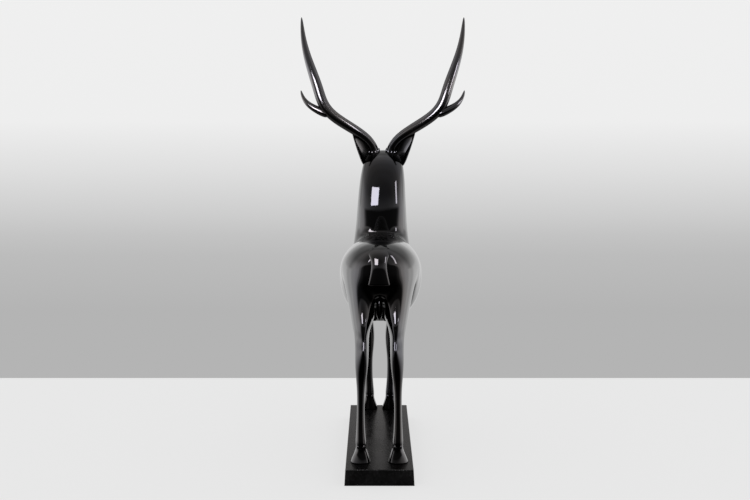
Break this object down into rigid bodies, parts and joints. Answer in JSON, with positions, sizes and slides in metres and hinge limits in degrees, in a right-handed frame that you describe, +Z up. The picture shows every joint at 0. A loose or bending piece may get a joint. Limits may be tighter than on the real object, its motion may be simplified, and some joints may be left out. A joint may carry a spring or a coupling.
{
  "type": "bronze deer sculpture",
  "caption": "Standing stag with tall antlers in dark polished bronze, fixed by its hooves to a long, low bronze plinth.",
  "frame": {"origin": "middle of the plinth's underside", "axes": "+Z up; the stag faces -Y; +X is the stag's own left side"},
  "size_m": [0.825, 1.2897, 2.1025],
  "materials": {
    "dark_polished_bronze": "mirror-polished bronze with a near-black patina",
    "satin_bronze": "satin bronze with a near-black patina and fine brushed lines"
  },
  "bodies": {
    "root": {"deer": "dark_polished_bronze", "plinth": "satin_bronze"}
  },
  "joints": []
}
